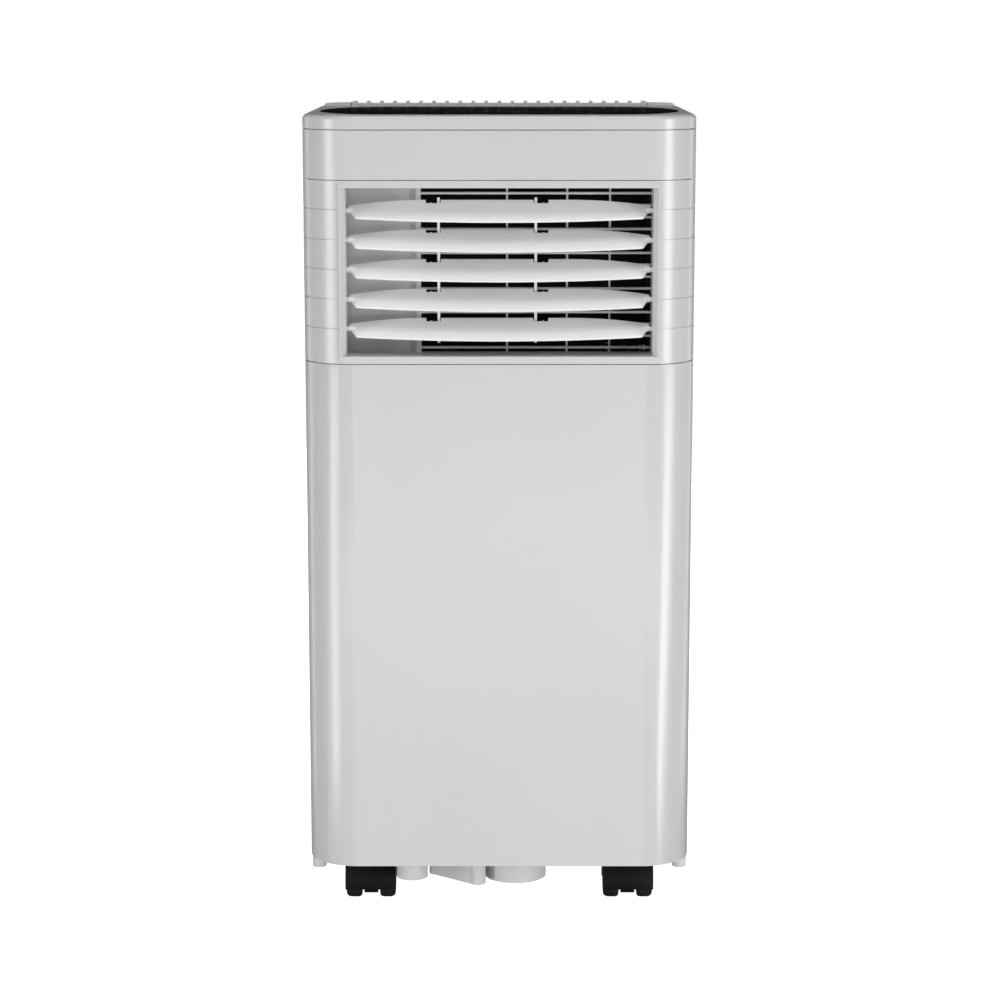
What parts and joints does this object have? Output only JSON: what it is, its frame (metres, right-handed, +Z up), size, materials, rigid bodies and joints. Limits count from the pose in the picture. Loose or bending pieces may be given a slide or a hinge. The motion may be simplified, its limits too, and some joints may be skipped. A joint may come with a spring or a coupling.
{
  "type": "portable air conditioner",
  "caption": "Slim white portable air conditioner on twin-wheel casters, with tilting outlet louvres, a flush black control panel and rear intakes with pull-out filters.",
  "frame": {"origin": "centre of the footprint on the floor, under the middle of the casing", "axes": "+X to the right seen from the front, +Y to the back, +Z up"},
  "size_m": [0.33, 0.28, 0.69],
  "materials": {
    "casing_white": "satin moulded ABS with a fine texture",
    "base_grey": "satin",
    "panel_black": "gloss",
    "display_smoke": "gloss",
    "key_black": "gloss",
    "louvre_white": "satin",
    "guard_grey": "satin",
    "duct_grey": "satin",
    "fan_black": "satin",
    "motor_steel": "zinc plated",
    "coil_aluminium": "bare, finned",
    "compressor_black": "satin paint",
    "rubber_black": "matt",
    "pipe_copper": "bare copper, dulled",
    "board_green": "solder resist",
    "grille_white": "satin",
    "filter_grey": "satin",
    "screw_steel": "zinc plated",
    "caster_black": "satin",
    "wheel_black": "satin nylon"
  },
  "bodies": {
    "casing": {"base_pan": "base_grey", "front_cover": "casing_white", "upper_casing": "casing_white", "outlet_frame": "casing_white", "rear_cover": "casing_white", "top_cover": "casing_white", "control_panel": "panel_black", "display_window": "display_smoke", "finger_guard": "guard_grey", "outlet_duct": "duct_grey", "evaporator_fan_motor": "motor_steel", "evaporator_coil": "coil_aluminium", "drain_tray": "base_grey", "partition": "base_grey", "exhaust_duct": "duct_grey", "exhaust_collar": "casing_white", "condenser_scroll": "duct_grey", "condenser_fan_motor": "motor_steel", "condenser_coil": "coil_aluminium", "compressor": "compressor_black", "compressor_grommets": "rubber_black", "accumulator": "compressor_black", "refrigerant_pipes": "pipe_copper", "splash_motor": "motor_steel", "electrical_box": "motor_steel", "run_capacitor": "coil_aluminium", "control_board": "board_green", "cord_gland": "rubber_black", "casing_screws": "screw_steel"},
    "louvre_1": {"louvre_1": "louvre_white"},
    "louvre_2": {"louvre_2": "louvre_white"},
    "louvre_3": {"louvre_3": "louvre_white"},
    "louvre_4": {"louvre_4": "louvre_white"},
    "louvre_5": {"louvre_5": "louvre_white"},
    "louvre_links": {"louvre_link_left": "louvre_white", "louvre_link_right": "louvre_white"},
    "key_power": {"key_power": "key_black"},
    "key_mode": {"key_mode": "key_black"},
    "key_fan": {"key_fan": "key_black"},
    "key_timer": {"key_timer": "key_black"},
    "key_up": {"key_up": "key_black"},
    "key_down": {"key_down": "key_black"},
    "evaporator_fan": {"evaporator_fan_wheel": "fan_black"},
    "condenser_fan": {"condenser_fan_wheel": "fan_black"},
    "splash_wheel": {"splash_wheel": "fan_black"},
    "upper_intake": {"upper_grille": "grille_white", "upper_filter": "filter_grey"},
    "lower_intake": {"lower_grille": "grille_white", "lower_filter": "filter_grey"},
    "upper_drain_plug": {"upper_drain_plug": "rubber_black"},
    "lower_drain_plug": {"lower_drain_plug": "rubber_black"},
    "caster_front_left_swivel": {"caster_front_left_hood": "caster_black"},
    "caster_front_left_wheels": {"caster_front_left_wheels": "wheel_black"},
    "caster_front_right_swivel": {"caster_front_right_hood": "caster_black"},
    "caster_front_right_wheels": {"caster_front_right_wheels": "wheel_black"},
    "caster_rear_left_swivel": {"caster_rear_left_hood": "caster_black"},
    "caster_rear_left_wheels": {"caster_rear_left_wheels": "wheel_black"},
    "caster_rear_right_swivel": {"caster_rear_right_hood": "caster_black"},
    "caster_rear_right_wheels": {"caster_rear_right_wheels": "wheel_black"}
  },
  "joints": [
    {"name": "louvre_1_tilt", "type": "hinge", "parent": "casing", "child": "louvre_1", "pos_m": [0, -0.124, 0.6067], "axis": [1, 0, 0], "range_deg": [-35, 42]},
    {"name": "louvre_2_tilt", "type": "hinge", "parent": "casing", "child": "louvre_2", "pos_m": [0, -0.124, 0.58195], "axis": [1, 0, 0], "range_deg": [-35, 42]},
    {"name": "louvre_3_tilt", "type": "hinge", "parent": "casing", "child": "louvre_3", "pos_m": [0, -0.124, 0.5572], "axis": [1, 0, 0], "range_deg": [-35, 42]},
    {"name": "louvre_4_tilt", "type": "hinge", "parent": "casing", "child": "louvre_4", "pos_m": [0, -0.124, 0.53245], "axis": [1, 0, 0], "range_deg": [-35, 42]},
    {"name": "louvre_5_tilt", "type": "hinge", "parent": "casing", "child": "louvre_5", "pos_m": [0, -0.124, 0.5077], "axis": [1, 0, 0], "range_deg": [-35, 42]},
    {"name": "louvre_link_swing", "type": "hinge", "parent": "louvre_1", "child": "louvre_links", "pos_m": [0, -0.113, 0.61071], "axis": [1, 0, 0], "range_deg": [-42, 35]},
    {"name": "key_power_press", "type": "slide", "parent": "casing", "child": "key_power", "axis": [0, 0, -1], "range_m": [0, 0.0008], "stiffness_N_per_m": 700, "springref_m": -0.0003},
    {"name": "key_mode_press", "type": "slide", "parent": "casing", "child": "key_mode", "axis": [0, 0, -1], "range_m": [0, 0.0008], "stiffness_N_per_m": 700, "springref_m": -0.0003},
    {"name": "key_fan_press", "type": "slide", "parent": "casing", "child": "key_fan", "axis": [0, 0, -1], "range_m": [0, 0.0008], "stiffness_N_per_m": 700, "springref_m": -0.0003},
    {"name": "key_timer_press", "type": "slide", "parent": "casing", "child": "key_timer", "axis": [0, 0, -1], "range_m": [0, 0.0008], "stiffness_N_per_m": 700, "springref_m": -0.0003},
    {"name": "key_up_press", "type": "slide", "parent": "casing", "child": "key_up", "axis": [0, 0, -1], "range_m": [0, 0.0008], "stiffness_N_per_m": 700, "springref_m": -0.0003},
    {"name": "key_down_press", "type": "slide", "parent": "casing", "child": "key_down", "axis": [0, 0, -1], "range_m": [0, 0.0008], "stiffness_N_per_m": 700, "springref_m": -0.0003},
    {"name": "evaporator_fan_spin", "type": "hinge", "parent": "casing", "child": "evaporator_fan", "pos_m": [0.028, -0.09, 0.402], "axis": [0, 1, 0], "continuous": true},
    {"name": "condenser_fan_spin", "type": "hinge", "parent": "casing", "child": "condenser_fan", "pos_m": [0.045, -0.013, 0.165], "axis": [0, 1, 0], "continuous": true},
    {"name": "splash_wheel_spin", "type": "hinge", "parent": "casing", "child": "splash_wheel", "pos_m": [-0.016, 0.088, 0.0645], "axis": [1, 0, 0], "continuous": true},
    {"name": "upper_intake_pull", "type": "slide", "parent": "casing", "child": "upper_intake", "axis": [0, 1, 0], "range_m": [0, 0.15]},
    {"name": "lower_intake_pull", "type": "slide", "parent": "casing", "child": "lower_intake", "axis": [0, 1, 0], "range_m": [0, 0.15]},
    {"name": "upper_drain_plug_pull", "type": "slide", "parent": "casing", "child": "upper_drain_plug", "axis": [0, 1, 0], "range_m": [0, 0.04]},
    {"name": "lower_drain_plug_pull", "type": "slide", "parent": "casing", "child": "lower_drain_plug", "axis": [0, 1, 0], "range_m": [0, 0.04]},
    {"name": "caster_front_left_swivel", "type": "hinge", "parent": "casing", "child": "caster_front_left_swivel", "pos_m": [-0.113, -0.082, 0.041], "axis": [0, 0, 1], "continuous": true},
    {"name": "caster_front_left_roll", "type": "hinge", "parent": "caster_front_left_swivel", "child": "caster_front_left_wheels", "pos_m": [-0.113, -0.09, 0.019], "axis": [1, 0, 0], "continuous": true},
    {"name": "caster_front_right_swivel", "type": "hinge", "parent": "casing", "child": "caster_front_right_swivel", "pos_m": [0.113, -0.082, 0.041], "axis": [0, 0, 1], "continuous": true},
    {"name": "caster_front_right_roll", "type": "hinge", "parent": "caster_front_right_swivel", "child": "caster_front_right_wheels", "pos_m": [0.113, -0.09, 0.019], "axis": [1, 0, 0], "continuous": true},
    {"name": "caster_rear_left_swivel", "type": "hinge", "parent": "casing", "child": "caster_rear_left_swivel", "pos_m": [-0.113, 0.082, 0.041], "axis": [0, 0, 1], "continuous": true},
    {"name": "caster_rear_left_roll", "type": "hinge", "parent": "caster_rear_left_swivel", "child": "caster_rear_left_wheels", "pos_m": [-0.113, 0.074, 0.019], "axis": [1, 0, 0], "continuous": true},
    {"name": "caster_rear_right_swivel", "type": "hinge", "parent": "casing", "child": "caster_rear_right_swivel", "pos_m": [0.113, 0.082, 0.041], "axis": [0, 0, 1], "continuous": true},
    {"name": "caster_rear_right_roll", "type": "hinge", "parent": "caster_rear_right_swivel", "child": "caster_rear_right_wheels", "pos_m": [0.113, 0.074, 0.019], "axis": [1, 0, 0], "continuous": true}
  ],
  "couplings": [
    {"joint": "louvre_2_tilt", "follows": "louvre_1_tilt", "ratio": 1},
    {"joint": "louvre_3_tilt", "follows": "louvre_1_tilt", "ratio": 1},
    {"joint": "louvre_4_tilt", "follows": "louvre_1_tilt", "ratio": 1},
    {"joint": "louvre_5_tilt", "follows": "louvre_1_tilt", "ratio": 1},
    {"joint": "louvre_link_swing", "follows": "louvre_1_tilt", "ratio": -1}
  ]
}
